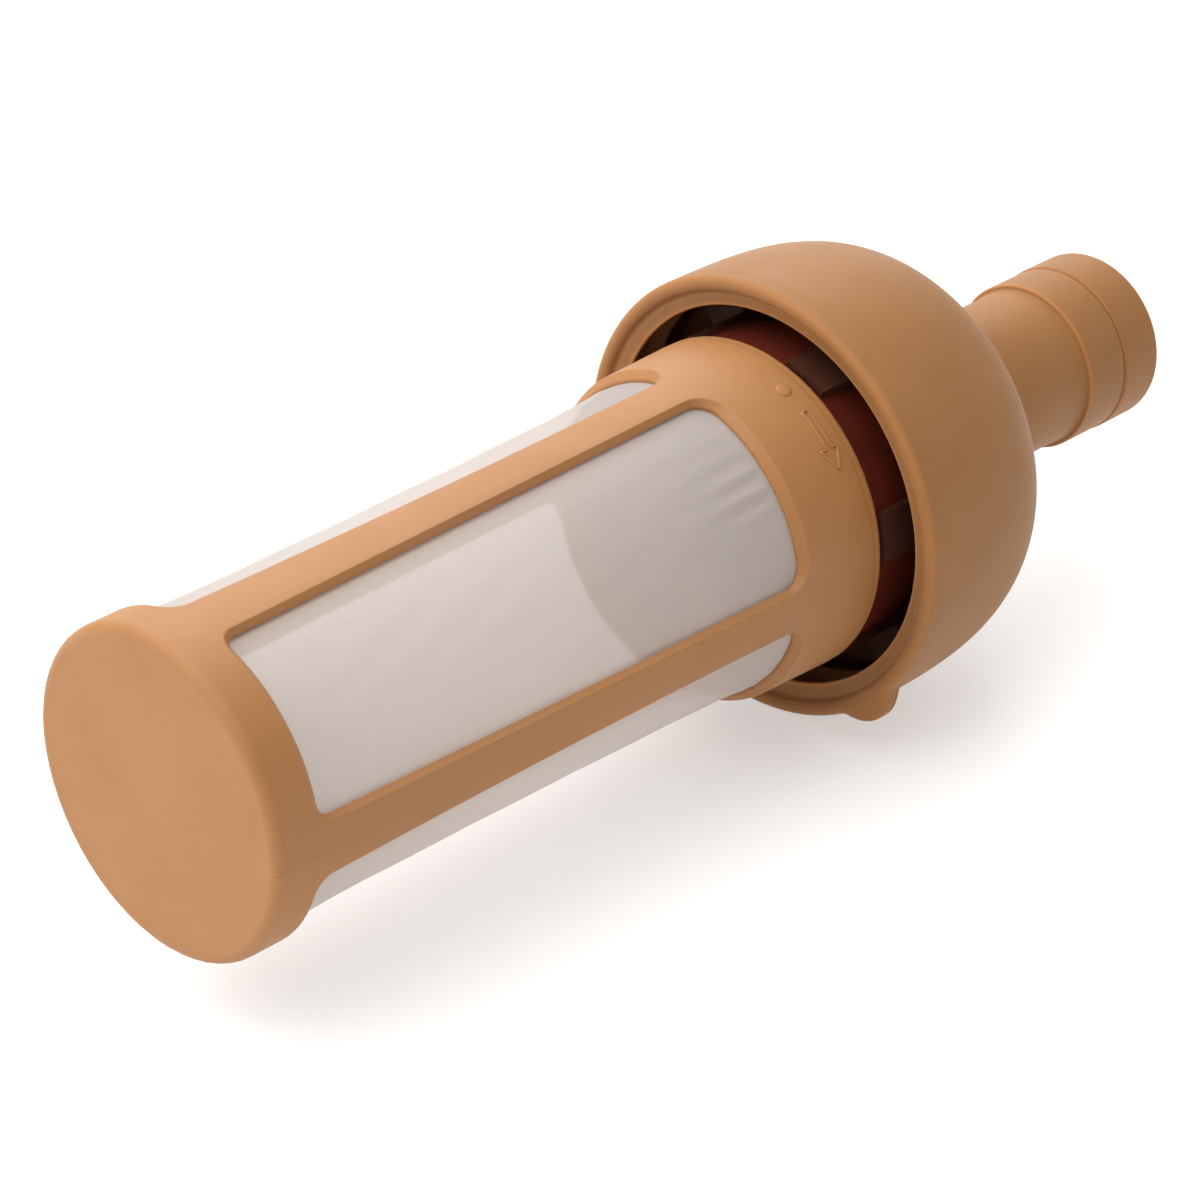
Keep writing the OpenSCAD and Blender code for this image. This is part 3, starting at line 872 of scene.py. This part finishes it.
def gate_nib(strainer, middle):
    """The stub that the mould's gate leaves on the closed end's rounded edge: a small flattened ellipsoid."""
    lift = strainer.edge * math.sin(math.radians(45))
    x = STRAINER_LOW.x + strainer.edge - lift
    radius = strainer.closed_radius - strainer.edge + lift
    around = np.linspace(0, math.tau, 20, endpoint=False)[None, :]
    fall = np.linspace(0, math.pi, 9)[:, None]
    out = 0.22 * MM * np.cos(fall)
    along = 0.55 * MM * np.sin(fall) * np.cos(around)
    turn = middle + 0.3 * MM * np.sin(fall) * np.sin(around) / radius
    across = math.sqrt(0.5)
    return about_axis(x + (along - out) * across, radius + (along + out) * across, turn)


class STRAINER_OT_marks(Operator):
    """Build the raised dot and arrow that show which way the strainer locks, and the mould gate's stub"""

    bl_idname = "strainer.marks"
    bl_label = "Direction marks"

    def execute(self, context):
        model = context.scene.strainer_model
        strainer = model.strainer
        material = material_once("caramel_polypropylene", frame_material, model.finish, strainer)
        middle_x = strainer.collar_end - 5.6 * MM
        arrow = bead_on_collar(strainer, arrow_path(), strainer.turn - math.radians(94.3), middle_x)
        dot = dot_on_collar(strainer, strainer.turn - math.radians(114.6), middle_x)
        nib = gate_nib(strainer, strainer.turn - math.radians(45))
        grids = [(arrow, True, True), (dot, False, True), (nib, False, True)]
        make_piece("direction_marks", grids, material, "strainer")
        return {"FINISHED"}


# The mesh


def cloth_surface(strainer):
    """The mesh tube: the frame's inner wall, eased inwards by a sag in the middle of each window. Soft pleats, a
    sine that swells and fades round the tube, run out from the collar, and a finer sine gives the rest a
    little slack. Returns the points, and the flat cloth's coordinates in metres."""
    x = np.linspace(MESH_LOW.x, MESH_HIGH.x, 180)[:, None]
    turn = np.linspace(0, math.tau, 541)[None, :]
    radius = frame_radius(strainer, x) - strainer.wall + 0.02 * MM
    low, high = STRAINER_LOW.x + strainer.closed_band, strainer.collar_end - strainer.collar_band
    open_x = smoothstep(x, low, low + 12 * MM) * (1 - smoothstep(x, high - 6 * MM, high))
    open_turn = np.clip(np.cos(strainer.windows * (turn - strainer.turn)), 0, 1) ** 0.8
    pleats = np.sin(46 * turn + 60 * (x - high)) * (0.35 + 0.65 * np.sin(6.5 * turn + 0.8) ** 2)
    near_collar = np.exp(-((high - 4 * MM - x) / (9 * MM)) ** 2)
    sag = 0.35 * MM * open_x * open_turn
    fold = 0.24 * MM * pleats * near_collar * open_turn * (1 - smoothstep(x, high - 1.5 * MM, high))
    slack = 0.05 * MM * np.sin(turn * 23 + x * 260) * open_x * open_turn
    points = about_axis(x, radius - sag + fold + slack, turn)
    around = turn * strainer.closed_radius
    return points, np.stack(np.broadcast_arrays(around, x - MESH_LOW.x), axis=-1)


class STRAINER_OT_cloth(Operator):
    """Build the woven mesh tube that is bonded inside the frame"""

    bl_idname = "strainer.cloth"
    bl_label = "Strainer mesh"

    def execute(self, context):
        model = context.scene.strainer_model
        material = material_once("polyester_mesh", cloth_material, model.finish)
        points, uv = cloth_surface(model.strainer)
        cloth = make_piece("woven_mesh", [(points, False, False)], material, "strainer", ["strainer_mesh"], uv)
        return {"FINISHED"}


# The holder


class STRAINER_OT_holder(Operator):
    """Finish the bayonet holder inside the dome"""

    bl_idname = "strainer.holder"
    bl_label = "Strainer holder"

    def execute(self, context):
        material = material_once("brown_polypropylene", holder_material, context.scene.strainer_model.finish)
        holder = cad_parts["strainer_holder"]
        holder.data.materials.clear()
        holder.data.materials.append(material)
        return {"FINISHED"}


# The stage


def look_at(thing, place, target):
    """Puts a lamp or camera at a place, turned to face a target, with its top side up."""
    towards = Vector(target) - Vector(place)
    thing.matrix_world = Matrix.Translation(place) @ towards.to_track_quat("-Z", "Y").to_matrix().to_4x4()


def add_lamp(name, place, target, size, power):
    """A square soft lamp."""
    lamp = bpy.data.lights.new(name, "AREA")
    lamp.size = size
    lamp.energy = power
    thing = bpy.data.objects.new(name, lamp)
    bpy.context.scene.collection.objects.link(thing)
    look_at(thing, place, target)


class STRAINER_OT_stage(Operator):
    """Set up the pale floor, the soft studio light and the camera"""

    bl_idname = "strainer.stage"
    bl_label = "Stage"

    def execute(self, context):
        self.add_floor(context)
        self.add_light(context)
        self.add_camera(context)
        context.scene.view_settings.view_transform = "Standard"
        return {"FINISHED"}

    def add_floor(self, context):
        """A wide round floor, just touched by the lowest point of the spout."""
        distance = np.array([0.0, 0.5, 2.0, 8.0])[:, None]
        turn = np.linspace(0, math.tau, 64, endpoint=False)[None, :]
        height = np.full((4, 64), CAD_BOX[0][2])
        points = np.stack([distance * np.cos(turn), distance * np.sin(turn), height], axis=-1)
        mesh = bpy.data.meshes.new("floor")
        mesh.from_pydata(points.reshape(-1, 3).tolist(), [], quads(4, 64, False, True).tolist())
        weld(mesh)
        mesh.materials.append(material_once("pale_floor", floor_material, context.scene.strainer_model.finish))
        floor = bpy.data.objects.new("floor", mesh)
        context.scene.collection.objects.link(floor)

    def add_light(self, context):
        """A white surround, a large soft lamp overhead, and weaker ones behind and on the left."""
        world = bpy.data.worlds.new("white_surround")
        world.use_nodes = True
        background = world.node_tree.nodes["Background"]
        background.inputs["Color"].default_value = (1, 1, 1, 1)
        background.inputs["Strength"].default_value = 0.5
        context.scene.world = world
        middle = (-0.03, 0, 0)
        add_lamp("overhead", (-0.24, 0.2, 0.72), middle, 1.2, 9.5)
        add_lamp("back", (0.48, 0.55, 0.5), middle, 0.8, 3.5)
        add_lamp("left", (-0.65, 0.2, 0.3), middle, 0.6, 1.2)

    def add_camera(self, context):
        """A long lens on the closed end's side, above the axis."""
        camera = bpy.data.cameras.new("camera")
        camera.lens = 120
        camera.sensor_width = 36
        thing = bpy.data.objects.new("camera", camera)
        context.scene.collection.objects.link(thing)
        azimuth, elevation, distance = math.radians(-45.41), math.radians(29.58), 0.695
        target = Vector((-39.45, 0, -4.61)) * MM
        level = math.cos(elevation)
        ahead = Vector((-math.sin(azimuth) * level, math.cos(azimuth) * level, -math.sin(elevation)))
        look_at(thing, target - ahead * distance, target)
        context.scene.camera = thing


class STRAINER_PT_panel(Panel):
    """Lists the operators in the order in which they are run"""

    bl_label = "Coffee strainer"
    bl_idname = "STRAINER_PT_panel"
    bl_space_type = "VIEW_3D"
    bl_region_type = "UI"
    bl_category = "Strainer"

    def draw(self, context):
        for operator in OPERATORS:
            self.layout.operator(operator.bl_idname)


SETTINGS = (SpoutSettings, StrainerSettings, FinishSettings, ModelSettings)
OPERATORS = (
    STRAINER_OT_stage,
    STRAINER_OT_spout,
    STRAINER_OT_stopper,
    STRAINER_OT_frame,
    STRAINER_OT_marks,
    STRAINER_OT_cloth,
    STRAINER_OT_holder,
)


def register():
    for item in (*SETTINGS, *OPERATORS, STRAINER_PT_panel):
        bpy.utils.register_class(item)
    bpy.types.Scene.strainer_model = PointerProperty(type=ModelSettings)


def unregister():
    del bpy.types.Scene.strainer_model
    for item in reversed((*SETTINGS, *OPERATORS, STRAINER_PT_panel)):
        bpy.utils.unregister_class(item)


def main():
    """Builds everything."""
    register()
    for operator in OPERATORS:
        group, name = operator.bl_idname.split(".")
        getattr(getattr(bpy.ops, group), name)()


if __name__ == "__main__":
    main()
